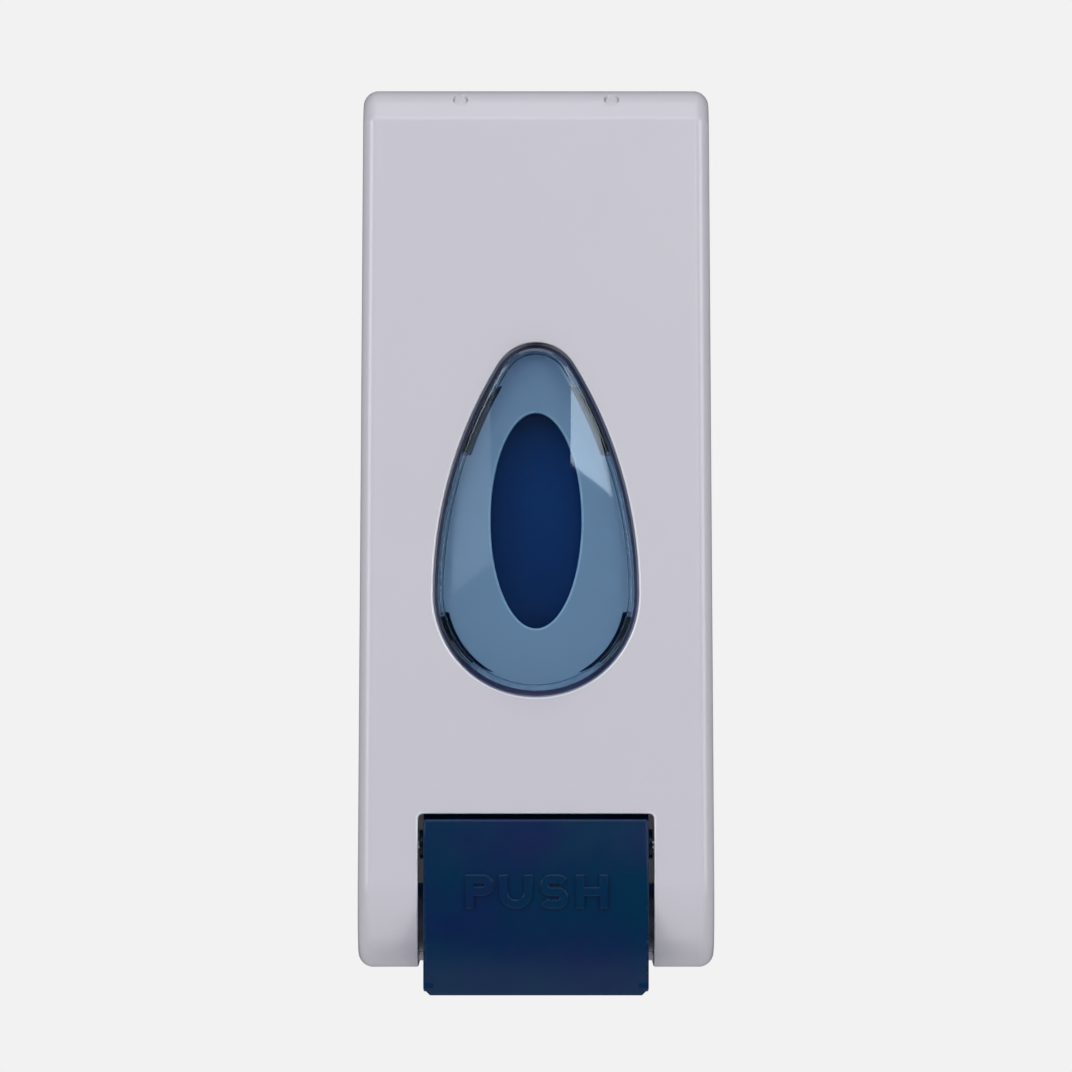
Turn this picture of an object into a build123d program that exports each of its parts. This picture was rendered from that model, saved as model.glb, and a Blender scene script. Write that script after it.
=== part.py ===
from build123d import *
import os
from math import atan2, cos, sin, sqrt, tan

# Wall mounted soap dispenser with a swing-down cover, a viewing window and a push button pump.
#
# Lengths are millimetres. X runs from left to right, the wall is the plane Y = 0 and the
# front faces -Y. Every height below is measured up from the cover's bottom edge. The files
# are written with the origin at the centre of the four wall screws, on the wall.

# ---------------------------------------------------------------- driving dimensions
SCREW_SPACING_X = 44.0
SCREW_SPACING_Z = 120.0
SCREW_HOLE_R = 2.5
SCREW_CENTRE_Z = 100.0

COVER_HALF_WIDTH = 40.0          # at the bottom edge
COVER_TOP_HALF_WIDTH = 38.85
COVER_HEIGHT = 197.5
COVER_DEPTH = 73.0               # from the wall to the front face, where it is deepest
COVER_REAR_GAP = 0.5
CHIN_R = 18.0                    # round from the front face under to the bottom
FACE_TOP_Z = 190.9               # where the front face meets the sloped top front
FACE_TOP_DEPTH = 62.3
SLOPE_TOP_DEPTH = 56.2
SLOPE_TOP_R = 9.0
BROW_R = 1.2                     # edge between the front face and the slope
SIDE_R = 3.4
RIM_R = 0.5                      # round on the rims of the recess, sight opening and button cut-out
WALL = 2.2

TEAR_LOW_R = 22.7                # low, high and side arcs of the teardrop
TEAR_HIGH_R = 9.5
TEAR_SIDE_R = 98.0
TEAR_LOW_Z = 84.1
TEAR_HIGH_Z = 130.7
RECESS_DEPTH = 3.0
RECESS_FLOOR = 1.8
RECESS_GAP = 0.4
RECESS_WALL = 1.9                # outside of the recess wall, out from the lens outline
SIGHT_HALF_WIDTH = 10.2          # oval opening behind the window
SIGHT_HALF_HEIGHT = 24.2
SIGHT_Z = 100.7
SLOT_OUTER, SLOT_INNER = -0.7, -2.9
SLOT_LOW = (66.6, 80.0)          # heights of the clip slots
SLOT_HIGH = (115.2, 130.7)

LENS_TOP = 1.9                   # how far the lens stands proud of the face, at its middle
LENS_ARCH_R = 160.0
LENS_SLOPE = 13.0                # degrees, skirt of the lens
LENS_WALL = 1.5

CUTOUT_HALF_WIDTH = 26.4
CUTOUT_TOP_Z = 35.0
CUTOUT_CORNER_R = 1.2
CUTOUT_REAR_DEPTH = 26.0
BUTTON_HALF_WIDTH = 25.2
BUTTON_TOP_Z = 33.8
BUTTON_BOTTOM_Z = -5.6
BUTTON_TOP_CORNER_R = 0.8
BUTTON_BOTTOM_CORNER = 1.5       # chamfer
BUTTON_SKIN = 2.4
BUTTON_AXLE = (-66.0, 28.0)      # (y, z) of the button's axle
FLANGE_INSET = (3.4, 4.6)        # the button's side flanges, in from the cover's outside
FLANGE_HALF_WIDTH = 27.4
FLANGE_Z = (1.5, 19.5)
TOP_FLANGE_Y = (-65.9, -64.7)
TOP_FLANGE_Z = 36.6
LETTER_HEIGHT = 7.4
LETTER_STROKE = 1.8
LETTER_RAISE = 0.5
LETTER_Z = 14.0
LETTER_X = {"P": -15.7, "U": -8.2, "S": 1.0, "H": 9.0}

COVER_HINGE = (-5.0, 4.5)        # (y, z) of the cover's hinge pins
PIN_R = 1.5
FIXED_FIT = 0.0                  # radial gap of a pin that is pressed in
RUNNING_FIT = 0.04               # radial gap of a pin that turns

LATCH_AXLE = (-30.0, 190.2)      # (y, z) of the latch rocker's axle
KEY_HOLE_X = 17.0
KEY_HOLE_DEPTH = 58.0
KEY_HOLE_R = 1.7
KEY_PIN_R = 1.42
LATCH_HALF_WIDTH = 21.0
LATCH_WIRE_R = 0.35
LATCH_COIL_R = 2.1

PLATE_THICKNESS = 2.6
PLATE_BOTTOM_Z = 10.0
PLATE_TOP_Z = 186.2
PLATE_SIDE_GAP = 1.0
PLATE_RIM_DEPTH = 5.0
CATCH_FRONT = 8.6
PLATE_RIM = 1.8

SHELF_TOP_Z = 58.0
SHELF_THICKNESS = 3.0
BOTTLE_HALF_WIDTH = 34.0
BOTTLE_REAR = 7.5
BOTTLE_FRONT = 57.5
BOTTLE_TOP_Z = 170.0
BOTTLE_WALL = 1.5
BOTTLE_CORNER_R = 8.0

PUMP_DEPTH = 40.0                # the pump's vertical axis, from the wall
NECK_BOTTOM_Z = 46.0
NECK_R = 15.0
NECK_BORE_R = 12.5
CYLINDER_R = 7.2
STEM_R = 3.5
STEM_BORE_R = 2.0
THRUST_FLANGE_Z = 14.0
THRUST_FLANGE_R = 11.0
PUMP_CAP_Z = 34.0
PISTON_Z = 36.2
CYLINDER_TOP_Z = 54.0
SPRING_GUIDE_R = 5.8
SEAT_BORE_R = 2.2                # inlet valve: seat, ball and the ball's rest height
SEAT_Z = 59.6
INLET_BALL_R = 3.0
INLET_BALL_Z = 56.4
OUTLET_SEAT_Z = 8.0              # outlet valve, inside the stem's lower end
OUTLET_BALL_R = 2.2
OUTLET_BALL_Z = 6.2
NOZZLE_TOP_Z = -0.5

FORK_X = (6.5, 10.0)             # arms of the button, each side of the stem
FORK_TIP_R = 2.0
FORK_GAP = 0.05
PLATE_LUG_X = (24.0, 30.8)
COVER_LUG_X = 31.2
LATCH_EAR_X = 21.4
HOOK_Y = (-5.6, -2.6)
HOOK_LOW_Z = 186.6
CATCH_TOP_Z = 187.9
BRACKET_BACK = 5.6               # depth of the bracket's back face
BRACKET_SCREW_X = 27.0
BRACKET_SCREW_Z = 49.5
BRACKET_SCREW_R = 1.5

# ---------------------------------------------------------------- shared helpers
FACE_LEAN = atan2(COVER_DEPTH - FACE_TOP_DEPTH, FACE_TOP_Z - CHIN_R)


def face_y(z):
    """Y of the front face at a height."""
    return -COVER_DEPTH + (z - CHIN_R) * tan(FACE_LEAN)


FACE = Plane(origin=(0, face_y(SCREW_CENTRE_Z), SCREW_CENTRE_Z), x_dir=(1, 0, 0),
             z_dir=(0, -cos(FACE_LEAN), sin(FACE_LEAN)))


def block(x, y, z):
    """Box from its low and high limits along each axis."""
    size = [high - low for low, high in (x, y, z)]
    middle = [(high + low) / 2 for low, high in (x, y, z)]
    return Pos(*middle) * Box(*size)


def both_sides(shape):
    """The shape and its mirror image across the middle."""
    return shape + mirror(shape, about=Plane.YZ)


def rod(radius, x, centre):
    """Cylinder along X between two x limits, about a (y, z) centre."""
    length = x[1] - x[0]
    return Pos((x[0] + x[1]) / 2, *centre) * Rot(Y=90) * Cylinder(radius, length)


def disc(radius, z, bore=0.0):
    """Upright cylinder or ring on the pump's axis."""
    shape = Cylinder(radius, z[1] - z[0])
    if bore:
        shape -= Cylinder(bore, z[1] - z[0])
    return Pos(0, -PUMP_DEPTH, (z[0] + z[1]) / 2) * shape


def stud(radius, x, z, depth):
    """Cylinder along Y between two depths, at a place seen from the front."""
    return Pos(x, (depth[0] + depth[1]) / 2, z) * Rot(X=90) * Cylinder(radius, depth[1] - depth[0])


def side_prism(outline, x):
    """A face drawn in (y, z), extruded between two x limits."""
    return extrude(Plane.YZ.offset(x[0]) * outline, amount=x[1] - x[0])


def face_prism(outline, z_low, z_high):
    """A face drawn on the cover's front, extruded between two heights above that face."""
    return extrude(FACE.offset(z_low) * outline, amount=z_high - z_low)


def coil(radius, wire_r, z, turns):
    """Round wire spring on the pump's axis, filling the given heights."""
    path = Helix(pitch=(z[1] - z[0] - 2 * wire_r) / turns, height=z[1] - z[0] - 2 * wire_r,
                 radius=radius)
    wire = sweep(Plane(origin=path @ 0, z_dir=path % 0) * Circle(wire_r), path=path)
    return Pos(0, -PUMP_DEPTH, z[0] + wire_r) * wire


def save(name, shape):
    """Write one sub-part, with the origin at the centre of the wall screws."""
    export_step(Pos(0, 0, -SCREW_CENTRE_Z) * shape, f"parts/{name}.step")


# ---------------------------------------------------------------- front cover
def cover_side(inset=0.0):
    """The cover's side view, running on behind the wall plane, pulled in by inset."""
    behind = 20.0
    chin, slope_top = (face_y(0), 0), (-SLOPE_TOP_DEPTH, COVER_HEIGHT)
    outline = Polygon((behind, 0), (behind, COVER_HEIGHT), slope_top,
                      (-FACE_TOP_DEPTH, FACE_TOP_Z), chin, align=None)
    for corner, radius in ((chin, CHIN_R), (slope_top, SLOPE_TOP_R)):
        outline = fillet(outline.vertices().sort_by_distance(corner)[0], radius)
    return offset(outline, amount=-inset, kind=Kind.INTERSECTION) if inset else outline


def cover_front(inset=0.0):
    """The cover's front view, a trapezium."""
    low, high = COVER_HALF_WIDTH - inset, COVER_TOP_HALF_WIDTH - inset
    return Polygon((-low, 0), (low, 0), (high, COVER_HEIGHT), (-high, COVER_HEIGHT), align=None)


def cover_block(inset=0.0):
    """Solid with the cover's outside shape, sharp at the sides."""
    wide = COVER_HALF_WIDTH + 5
    front = extrude(Plane.XZ.offset(-30) * cover_front(inset), amount=COVER_DEPTH + 40)
    return side_prism(cover_side(inset), (-wide, wide)) & front


def rounded_cover_block():
    """The outside shape with its side edges and brow rounded."""
    solid = cover_block()
    flanks = [face for face in solid.faces() if abs(face.normal_at().X) > 0.9]
    edges = [edge for face in flanks for edge in face.edges() if edge.center().Y < 19]
    solid = fillet(edges, SIDE_R)
    brow = solid.edges().sort_by_distance((0, -FACE_TOP_DEPTH, FACE_TOP_Z))[0]
    return fillet(brow, BROW_R)


def teardrop(grow=0.0):
    """Window outline on the front face: low and high arcs joined by long side arcs."""
    low, high = Vector(0, TEAR_LOW_Z - SCREW_CENTRE_Z), Vector(0, TEAR_HIGH_Z - SCREW_CENTRE_Z)
    to_low, to_high = TEAR_SIDE_R - TEAR_LOW_R, TEAR_SIDE_R - TEAR_HIGH_R
    apart = high.Y - low.Y
    rise = (to_low**2 - to_high**2 + apart**2) / (2 * apart)
    side = Vector(-sqrt(to_low**2 - rise**2), low.Y + rise)
    toward_low, toward_high = (low - side).normalized(), (high - side).normalized()
    low_r, high_r, side_r = TEAR_LOW_R + grow, TEAR_HIGH_R + grow, TEAR_SIDE_R + grow
    right_low = low + toward_low * low_r
    right_high = high + toward_high * high_r
    right_middle = side + (toward_low + toward_high).normalized() * side_r
    right = (right_low, right_middle, right_high)
    left_low, left_middle, left_high = (Vector(-point.X, point.Y) for point in right)
    return make_face([
        ThreePointArc(left_low, low - Vector(0, low_r), right_low),
        ThreePointArc(right_low, right_middle, right_high),
        ThreePointArc(right_high, high + Vector(0, high_r), left_high),
        ThreePointArc(left_high, left_middle, left_low),
    ])


def teardrop_band(outer, inner, heights, z_low, z_high, margin=0.0):
    """Strip between two teardrop outlines, kept only within a range of heights."""
    band = face_prism(teardrop(outer) - teardrop(inner), z_low, z_high)
    wide = COVER_HALF_WIDTH
    return band & block((-wide, wide), (-COVER_DEPTH - 9, 0), (heights[0] + margin, heights[1] - margin))


def button_cutout():
    """Opening for the button, with rounded top corners."""
    opening = block((-CUTOUT_HALF_WIDTH, CUTOUT_HALF_WIDTH), (-COVER_DEPTH - 9, -CUTOUT_REAR_DEPTH),
                    (-9, CUTOUT_TOP_Z))
    return fillet(opening.edges().filter_by(Axis.Y).group_by(Axis.Z)[-1], CUTOUT_CORNER_R)


def opened_cover_block():
    """The outside shape with the window recess and the button cut-out, their rims rounded."""
    solid = rounded_cover_block() - face_prism(teardrop(RECESS_GAP), -RECESS_DEPTH, 9)
    around = solid.edges().filter_by_position(Axis.X, -TEAR_LOW_R - 2, TEAR_LOW_R + 2)
    around = around.filter_by_position(Axis.Z, CUTOUT_TOP_Z, FACE_TOP_Z - 9)
    solid = fillet([edge for edge in around if FACE.to_local_coords(edge.center()).Z > -0.1], RIM_R)
    solid -= button_cutout()
    around = solid.edges().filter_by_position(Axis.X, -CUTOUT_HALF_WIDTH - 0.1, CUTOUT_HALF_WIDTH + 0.1)
    around = around.filter_by_position(Axis.Z, 0, CUTOUT_TOP_Z + 0.1)
    return fillet(around.filter_by_position(Axis.Y, -COVER_DEPTH - 1, CHIN_R - COVER_DEPTH), RIM_R)


def front_cover():
    recess_back = -RECESS_DEPTH - RECESS_FLOOR
    cavity = cover_block(inset=WALL) - face_prism(teardrop(RECESS_WALL), recess_back, 0)
    cover = opened_cover_block() - cavity
    sight = Pos(0, SIGHT_Z - SCREW_CENTRE_Z) * Ellipse(SIGHT_HALF_WIDTH, SIGHT_HALF_HEIGHT)
    cover -= face_prism(sight, -9, 0)
    oval_top = FACE.from_local_coords((0, SIGHT_Z - SCREW_CENTRE_Z + SIGHT_HALF_HEIGHT, -RECESS_DEPTH))
    cover = fillet(cover.edges().sort_by_distance(oval_top)[0], RIM_R)
    for heights in (SLOT_LOW, SLOT_HIGH):
        cover -= teardrop_band(SLOT_OUTER, SLOT_INNER, heights, -9, 0)

    # ears that hold the button's axle, one each side of the cut-out
    y, z = BUTTON_AXLE
    ear_x = (CUTOUT_HALF_WIDTH, CUTOUT_HALF_WIDTH + 2.6)
    ear = block(ear_x, (y - 6.5, y + 5), (z - 7, z + 9)) & cover_block(inset=1)
    cover += both_sides(ear)
    cover -= rod(PIN_R + FIXED_FIT, (-ear_x[1], ear_x[1]), BUTTON_AXLE)

    # lugs for the two hinge pins, with gaps beside them for the wall plate's lugs
    inside = COVER_HALF_WIDTH - WALL
    cover += both_sides(rod(3.9, (COVER_LUG_X, inside + 0.5), COVER_HINGE))
    cover -= both_sides(block((PLATE_LUG_X[0] - 0.5, COVER_LUG_X), (-9.9, 0), (-1, 9)))
    cover -= both_sides(rod(PIN_R + RUNNING_FIT, (PLATE_LUG_X[0], inside), COVER_HINGE))
    turn_r = COVER_HINGE[1]
    heel = block((-41, 41), (COVER_HINGE[0], 1), (-1, turn_r)) - rod(turn_r, (-41, 41), COVER_HINGE)
    cover -= heel

    # ears under the top wall for the latch rocker, and the two key holes
    y, z = LATCH_AXLE
    ear = block((LATCH_EAR_X, LATCH_EAR_X + 2.2), (y - 4, y + 4), (z - 3, COVER_HEIGHT - 1))
    cover += both_sides(ear)
    cover -= rod(PIN_R + FIXED_FIT, (-LATCH_EAR_X - 2.2, LATCH_EAR_X + 2.2), LATCH_AXLE)
    key_hole = Pos(KEY_HOLE_X, -KEY_HOLE_DEPTH, COVER_HEIGHT - 4) * Cylinder(KEY_HOLE_R, 16)
    cover -= both_sides(key_hole)
    return cover - block((-50, 50), (-COVER_REAR_GAP, 30), (-5, COVER_HEIGHT + 5))


def lens_body(inset):
    """Sloped and arched body of the window, pulled in by inset on every side."""
    base = -RECESS_DEPTH
    skirt = extrude(FACE.offset(base) * teardrop(-inset), amount=8, taper=LENS_SLOPE)
    top = LENS_TOP - inset
    arch = FACE * (Pos(0, 0, top - LENS_ARCH_R + inset) * Rot(X=90) * Cylinder(LENS_ARCH_R - inset, 160))
    return skirt & arch


def window_lens():
    outer = lens_body(0.0)
    top_face = outer.faces().filter_by(GeomType.CYLINDER).sort_by(SortBy.AREA)[-1]
    lens = fillet(top_face.edges(), 0.7) - lens_body(LENS_WALL)
    for heights in (SLOT_LOW, SLOT_HIGH):
        behind = -RECESS_DEPTH - RECESS_FLOOR
        lens += teardrop_band(-1.0, -2.3, heights, behind - 1.5, -1.9, margin=0.8)
        lens += teardrop_band(-0.1, -2.3, heights, behind - 1.5, behind - 0.2, margin=0.8)
    return lens


# ---------------------------------------------------------------- push button
def button_outline(grow=0.0):
    """Side view of the button's skin; grow moves its outer face forward."""
    proud = 0.8 + grow
    outer = [(face_y(BUTTON_TOP_Z) - proud, BUTTON_TOP_Z), (face_y(CHIN_R) - proud - 0.5, CHIN_R - 4),
             (face_y(CHIN_R) - proud + 1.8, BUTTON_BOTTOM_Z)]
    inner = [(y + BUTTON_SKIN + grow, z) for y, z in reversed(outer)]
    return make_face([ThreePointArc(*outer), Line(outer[-1], inner[0]),
                      ThreePointArc(*inner), Line(inner[-1], outer[0])])


def letter(strokes):
    """Flat letter drawn with an even stroke along its centre lines."""
    return Sketch() + [trace(stroke, line_width=LETTER_STROKE) for stroke in strokes]


def letters():
    """The generic word PUSH, drawn in its own plain letters, as flat faces seen from the front."""
    half = LETTER_STROKE / 2
    top = LETTER_HEIGHT
    left = half
    bowl_r = 1.35
    bowl = [Line((left, top - half), (3.9, top - half)),
            ThreePointArc((3.9, top - half), (3.9 + bowl_r, top - half - bowl_r),
                          (3.9, top - half - 2 * bowl_r)),
            Line((3.9, top - half - 2 * bowl_r), (left, top - half - 2 * bowl_r))]
    u_r = 2.8
    cup = [Line((left, top), (left, u_r + half)),
           ThreePointArc((left, u_r + half), (left + u_r, half), (left + 2 * u_r, u_r + half)),
           Line((left + 2 * u_r, u_r + half), (left + 2 * u_r, top))]
    s_r = 1.4
    middle = top / 2
    s_high = [ThreePointArc((5.2, top - 1.5), (4.6, top - 1.05), (3.7, top - half)),
              Line((3.7, top - half), (2.3, top - half)),
              ThreePointArc((2.3, top - half), (2.3 - s_r, middle + s_r), (2.3, middle)),
              Line((2.3, middle), (3.05, middle))]
    drawn = {
        "P": [Line((left, 0), (left, top))] + bowl,
        "U": cup,
        "S": s_high + [stroke.rotate(Axis((3.05, middle, 0), (0, 0, 1)), 180) for stroke in s_high],
        "H": [Line((left, 0), (left, top)), Line((6.1, 0), (6.1, top)),
              Line((left, middle), (6.1, middle))],
    }
    return [Pos(LETTER_X[name], LETTER_Z) * letter(strokes) for name, strokes in drawn.items()]


def end_edges(skin, end):
    """The button skin's two corner edges at its bottom (end 0) or top (end -1)."""
    level = skin.edges().group_by(Axis.Z)[end]
    return [edge for edge in level if abs(edge.center().X) > BUTTON_HALF_WIDTH - 0.1]


def push_button():
    half = BUTTON_HALF_WIDTH
    skin = side_prism(button_outline(), (-half, half))
    skin = fillet(end_edges(skin, -1), BUTTON_TOP_CORNER_R)
    skin = chamfer(end_edges(skin, 0), BUTTON_BOTTOM_CORNER)
    outer_face = skin.faces().sort_by(Axis.Y)[0]
    button = fillet(outer_face.edges(), 0.6)
    raised = side_prism(button_outline(LETTER_RAISE), (-half, half))
    for face in letters():
        button += extrude(Plane.XZ.offset(60) * face, amount=30) & raised

    # cheeks that carry the axle, flanges behind the gap round the button, and the pump's fork
    y, z = BUTTON_AXLE
    cheek = Polygon((-72.6, -4), (-60, -5.3), (-52, 2), (-52, 13), (y + 4.2, z + 3), (-71, z + 4),
                    align=None)
    button += both_sides(side_prism(cheek, (half - 2.2, half)))
    button += both_sides(rod(3.4, (half - 5, half + 0.9), BUTTON_AXLE))
    strip = cover_side(FLANGE_INSET[0]) - cover_side(FLANGE_INSET[1])
    strip &= Pos(-62, sum(FLANGE_Z) / 2) * Rectangle(20, FLANGE_Z[1] - FLANGE_Z[0])
    button += both_sides(side_prism(strip, (half - 0.2, FLANGE_HALF_WIDTH)))
    button += block((-half, half), TOP_FLANGE_Y, (z + 1, TOP_FLANGE_Z))
    tip = (-PUMP_DEPTH, THRUST_FLANGE_Z - FORK_GAP - FORK_TIP_R)
    arm = Polygon((-72.4, 1), (tip[0], tip[1] - 1.6), (tip[0], tip[1] + 1.2), (-72.4, 13), align=None)
    arm += Pos(*tip) * Circle(FORK_TIP_R)
    button += both_sides(side_prism(arm, FORK_X))
    button += block((-FORK_X[0] - 1, FORK_X[0] + 1), (-60, -57.5), (3, 11))
    return button - rod(PIN_R + RUNNING_FIT, (-half - 1, half + 1), BUTTON_AXLE)


# ---------------------------------------------------------------- wall plate and bottle bracket
def plate_front_view(inset, z_low, z_high):
    """Trapezium that fits inside the cover, pulled in by inset."""
    def half_width(z):
        slant = (COVER_HALF_WIDTH - COVER_TOP_HALF_WIDTH) / COVER_HEIGHT
        return COVER_HALF_WIDTH - WALL - PLATE_SIDE_GAP - slant * z - inset
    low, high = half_width(z_low), half_width(z_high)
    return Polygon((-low, z_low), (low, z_low), (high, z_high), (-high, z_high), align=None)


def wall_plate():
    outer = plate_front_view(0, PLATE_BOTTOM_Z, PLATE_TOP_Z)
    inner = plate_front_view(PLATE_RIM, PLATE_BOTTOM_Z + PLATE_RIM, PLATE_TOP_Z - PLATE_RIM)
    plate = extrude(Plane.XZ * outer, amount=PLATE_RIM_DEPTH)
    plate -= extrude(Plane.XZ.offset(PLATE_THICKNESS) * inner, amount=PLATE_RIM_DEPTH)
    for x in (-12, 0, 12):
        plate += block((x - 0.8, x + 0.8), (-5, -1), (66, PLATE_TOP_Z - 1))

    # shelf along the top with two catch ribs for the latch
    plate += block((-22, 22), (-CATCH_FRONT, -1), (PLATE_TOP_Z - PLATE_RIM, PLATE_TOP_Z))
    plate += both_sides(block((11, 20), (-CATCH_FRONT, -6.4), (PLATE_TOP_Z - 0.5, CATCH_TOP_Z)))

    # lugs that hold the hinge pins
    lug = rod(3.6, PLATE_LUG_X, COVER_HINGE)
    lug += block(PLATE_LUG_X, (-5, 0), (COVER_HINGE[1], PLATE_BOTTOM_Z + 1))
    plate += both_sides(lug)
    plate -= both_sides(rod(PIN_R + FIXED_FIT, PLATE_LUG_X, COVER_HINGE))

    # posts that the bracket is screwed to, then bosses round the wall screws
    for x in (-BRACKET_SCREW_X, BRACKET_SCREW_X):
        plate += stud(4.5, x, BRACKET_SCREW_Z, (-BRACKET_BACK, -1))
        plate -= stud(BRACKET_SCREW_R, x, BRACKET_SCREW_Z, (-BRACKET_BACK, -1.2))
    for x in (-SCREW_SPACING_X / 2, SCREW_SPACING_X / 2):
        for z in (SCREW_CENTRE_Z - SCREW_SPACING_Z / 2, SCREW_CENTRE_Z + SCREW_SPACING_Z / 2):
            plate += stud(6.5, x, z, (-3.8, 0))
            plate -= stud(SCREW_HOLE_R, x, z, (-6, 2))
    return plate - block((-50, 50), (0, 20), (-5, COVER_HEIGHT))


def reservoir_bracket():
    half = BOTTLE_HALF_WIDTH + 1.6
    z_low = SHELF_TOP_Z - SHELF_THICKNESS
    rear = -BRACKET_BACK
    bracket = block((-half, half), (-BOTTLE_FRONT - 2, rear), (z_low, SHELF_TOP_Z))
    bracket += block((-half, half), (rear - 2.8, rear), (BRACKET_SCREW_Z - 5, z_low + 1))
    lip_x = (BOTTLE_HALF_WIDTH + 0.2, half)
    lip = block(lip_x, (-BOTTLE_FRONT - 2, rear - 4), (z_low + 1, SHELF_TOP_Z + 6))
    bracket += both_sides(lip)
    gusset = Polygon((rear - 1, z_low + 1), (-BOTTLE_FRONT, z_low + 1), (-BOTTLE_FRONT, z_low - 1),
                     (rear - 1, BRACKET_SCREW_Z - 5), align=None)
    bracket += both_sides(side_prism(gusset, (half - 1.8, half)))
    notch_r = NECK_R + 0.6
    notch_z = (z_low - 1, SHELF_TOP_Z + 1)
    bracket -= disc(notch_r, notch_z)
    bracket -= block((-notch_r, notch_r), (-BOTTLE_FRONT - 5, -PUMP_DEPTH), notch_z)
    for x in (-BRACKET_SCREW_X, BRACKET_SCREW_X):
        bracket -= stud(BRACKET_SCREW_R + 0.1, x, BRACKET_SCREW_Z, (rear - 4, rear + 1))
    return bracket


def bracket_screws():
    """Two pan head screws, as one group."""
    head_y = -BRACKET_BACK - 2.8
    head = fillet(Cylinder(3.4, 2.2).edges().sort_by(Axis.Z)[-1], 1.0)
    head -= Pos(0, 0, 1) * (Box(4.2, 0.8, 1.6) + Box(0.8, 4.2, 1.6))
    head = Pos(0, head_y - 1.1, 0) * Rot(X=90) * head
    screw = head + stud(BRACKET_SCREW_R, 0, 0, (head_y, -1.6))
    return Part() + [Pos(x, 0, BRACKET_SCREW_Z) * screw for x in (-BRACKET_SCREW_X, BRACKET_SCREW_X)]


def hinge_pins():
    inner = PLATE_LUG_X[0]
    return both_sides(rod(PIN_R, (inner - 1, COVER_HALF_WIDTH - WALL - 1.2), COVER_HINGE)
                      + rod(2.2, (inner - 2.2, inner - 0.01), COVER_HINGE))


# ---------------------------------------------------------------- bottle
def bottle_plan(inset):
    """The bottle's rounded rectangle, seen from above."""
    width = 2 * (BOTTLE_HALF_WIDTH - inset)
    depth = BOTTLE_FRONT - BOTTLE_REAR - 2 * inset
    outline = RectangleRounded(width, depth, BOTTLE_CORNER_R - inset)
    return Pos(0, -(BOTTLE_FRONT + BOTTLE_REAR) / 2) * outline


def upright(outline, z):
    """A face drawn from above, extruded between two heights."""
    return extrude(Plane.XY.offset(z[0]) * outline, amount=z[1] - z[0])


def reservoir_bottle():
    body = upright(bottle_plan(0), (SHELF_TOP_Z, BOTTLE_TOP_Z))
    body = fillet(body.faces().sort_by(Axis.Z)[0].edges(), 3)
    body += disc(NECK_R, (NECK_BOTTOM_Z, SHELF_TOP_Z + 3.5))
    body -= upright(bottle_plan(BOTTLE_WALL), (SHELF_TOP_Z + BOTTLE_WALL, BOTTLE_TOP_Z + 1))
    return body - disc(NECK_BORE_R, (NECK_BOTTOM_Z - 1, SHELF_TOP_Z + 5))


def lid_gasket():
    return upright(bottle_plan(0.1) - bottle_plan(2.4), (BOTTLE_TOP_Z, BOTTLE_TOP_Z + 1))


def reservoir_lid():
    rim_z = BOTTLE_TOP_Z - 5
    top_z = BOTTLE_TOP_Z + 3
    lid = upright(bottle_plan(-1.7), (rim_z, top_z))
    lid = fillet(lid.faces().sort_by(Axis.Z)[-1].edges(), 1.2)
    lid -= upright(bottle_plan(-0.15), (rim_z - 1, BOTTLE_TOP_Z + 1))
    lid -= upright(bottle_plan(7), (top_z - 1, top_z + 1))
    tab = block((-9, 9), (-BOTTLE_FRONT - 3.2, -BOTTLE_FRONT - 1.2), (rim_z, rim_z + 1.8))
    return lid + tab


# ---------------------------------------------------------------- pump
def neck_gasket():
    return disc(NECK_R - 0.2, (NECK_BOTTOM_Z - 1, NECK_BOTTOM_Z), bore=11.5)


def pump_collar():
    """Screw cap that holds the pump to the bottle's neck, with grip ribs round it."""
    low, high = NECK_BOTTOM_Z - 5, SHELF_TOP_Z - SHELF_THICKNESS - 0.5
    collar = disc(18, (low, high))
    ribs = 24
    for number in range(ribs):
        turn = Rot(Z=360 * number / ribs)
        collar += Pos(0, -PUMP_DEPTH, (low + high) / 2) * turn * Pos(18, 0) * Cylinder(0.6, high - low)
    collar -= disc(NECK_R + 0.2, (low + 2, high + 1))
    return collar - disc(10.9, (low - 1, low + 3))


def pump_housing():
    """Cylinder closed at the top by the inlet seat, with the flange that the collar holds."""
    housing = disc(9, (PUMP_CAP_Z + 2, CYLINDER_TOP_Z + 2))
    housing += disc(NECK_R, (NECK_BOTTOM_Z - 3, NECK_BOTTOM_Z - 1))
    housing += disc(5.4, (CYLINDER_TOP_Z + 1, SEAT_Z + 1.4))
    housing -= disc(CYLINDER_R, (PUMP_CAP_Z, CYLINDER_TOP_Z))
    housing -= disc(INLET_BALL_R + 0.6, (CYLINDER_TOP_Z - 1, SEAT_Z))
    return housing - disc(SEAT_BORE_R, (SEAT_Z - 1, SEAT_Z + 5))


def valve_cage():
    """Slotted disc in the top of the cylinder that keeps the inlet ball in its chamber."""
    z = (CYLINDER_TOP_Z - 2.2, CYLINDER_TOP_Z - 0.8)
    cage = disc(CYLINDER_R, z) + disc(2.2, (z[0], z[1] + 0.1)) - disc(1.0, (z[0] - 1, z[1] + 2))
    spokes = 6
    for number in range(spokes):
        port = Rot(Z=360 * number / spokes) * Pos(4.6, 0) * Cylinder(1.5, 6)
        cage -= Pos(0, -PUMP_DEPTH, z[0]) * port
    return cage


def inlet_ball():
    return Pos(0, -PUMP_DEPTH, INLET_BALL_Z) * Sphere(INLET_BALL_R)


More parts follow.
